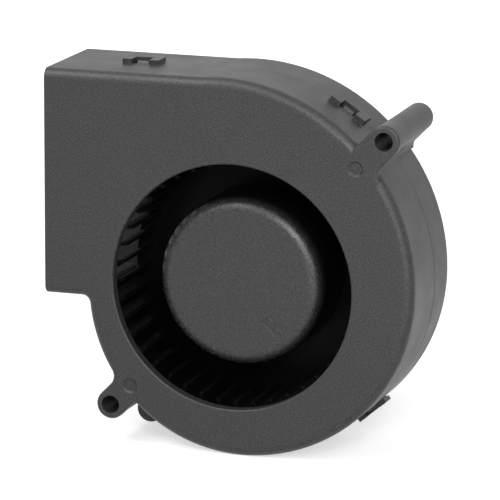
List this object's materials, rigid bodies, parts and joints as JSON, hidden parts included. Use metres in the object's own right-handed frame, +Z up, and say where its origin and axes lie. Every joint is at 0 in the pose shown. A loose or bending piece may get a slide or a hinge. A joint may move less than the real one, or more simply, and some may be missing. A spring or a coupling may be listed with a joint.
{
  "type": "dc blower fan",
  "caption": "Flat centrifugal blower with a round inlet, a scroll case with a side outlet, a caged ring of forward-curved blades and a motor inside the hub.",
  "frame": {"origin": "on the impeller's axis, in the flat rear mounting face", "axes": "-Y out of the round inlet (front), +Y out of the rear face, +Z up, +X to the right seen from the inlet; the outlet mouth faces -X"},
  "size_m": [0.0972, 0.033, 0.0975],
  "materials": {
    "case_plastic": "fine spark-eroded texture, black",
    "impeller_plastic": "satin moulded, black",
    "yoke_steel": "zinc plated",
    "magnet": "sintered ferrite, matt",
    "bush_brass": "turned",
    "shaft_steel": "ground",
    "clip_steel": "spring steel",
    "bearing_steel": "ground and polished",
    "cage_steel": "pressed sheet",
    "core_steel": "laminated sheet steel",
    "insulator_plastic": "moulded, cream",
    "coil_copper": "enamelled copper wire",
    "pin_metal": "tinned",
    "board_laminate": "solder resist, green",
    "chip_plastic": "moulded epoxy",
    "capacitor_ceramic": "ceramic"
  },
  "bodies": {
    "housing": {"front_cover": "case_plastic", "rear_housing": "case_plastic", "bearing_tube": "bush_brass", "stator_core": "core_steel", "front_insulator": "insulator_plastic", "rear_insulator": "insulator_plastic", "coil_1": "coil_copper", "coil_2": "coil_copper", "coil_3": "coil_copper", "coil_4": "coil_copper", "terminal_pins": "pin_metal", "circuit_board": "board_laminate", "hall_sensor": "chip_plastic", "driver_chip": "chip_plastic", "filter_capacitor": "capacitor_ceramic", "protection_diode": "chip_plastic", "front_bearing_outer_ring": "bearing_steel", "front_bearing_shields": "cage_steel", "rear_bearing_outer_ring": "bearing_steel", "rear_bearing_shields": "cage_steel"},
    "rotor": {"impeller": "impeller_plastic", "rotor_yoke": "yoke_steel", "rotor_magnet": "magnet", "rotor_bush": "bush_brass", "shaft": "shaft_steel", "retaining_clip": "clip_steel", "preload_spring": "clip_steel", "front_bearing_inner_ring": "bearing_steel", "rear_bearing_inner_ring": "bearing_steel"},
    "front_cage": {"front_bearing_balls": "bearing_steel", "front_bearing_cage": "cage_steel"},
    "rear_cage": {"rear_bearing_balls": "bearing_steel", "rear_bearing_cage": "cage_steel"}
  },
  "joints": [
    {"name": "impeller_spin", "type": "hinge", "parent": "housing", "child": "rotor", "pos_m": [0, 0, 0], "axis": [0, -1, 0], "continuous": true},
    {"name": "front_cage_spin", "type": "hinge", "parent": "housing", "child": "front_cage", "pos_m": [0, -0.019, 0], "axis": [0, -1, 0], "continuous": true},
    {"name": "rear_cage_spin", "type": "hinge", "parent": "housing", "child": "rear_cage", "pos_m": [0, -0.0055, 0], "axis": [0, -1, 0], "continuous": true}
  ],
  "couplings": [
    {"joint": "front_cage_spin", "follows": "impeller_spin", "ratio": 0.35636},
    {"joint": "rear_cage_spin", "follows": "impeller_spin", "ratio": 0.35636}
  ]
}
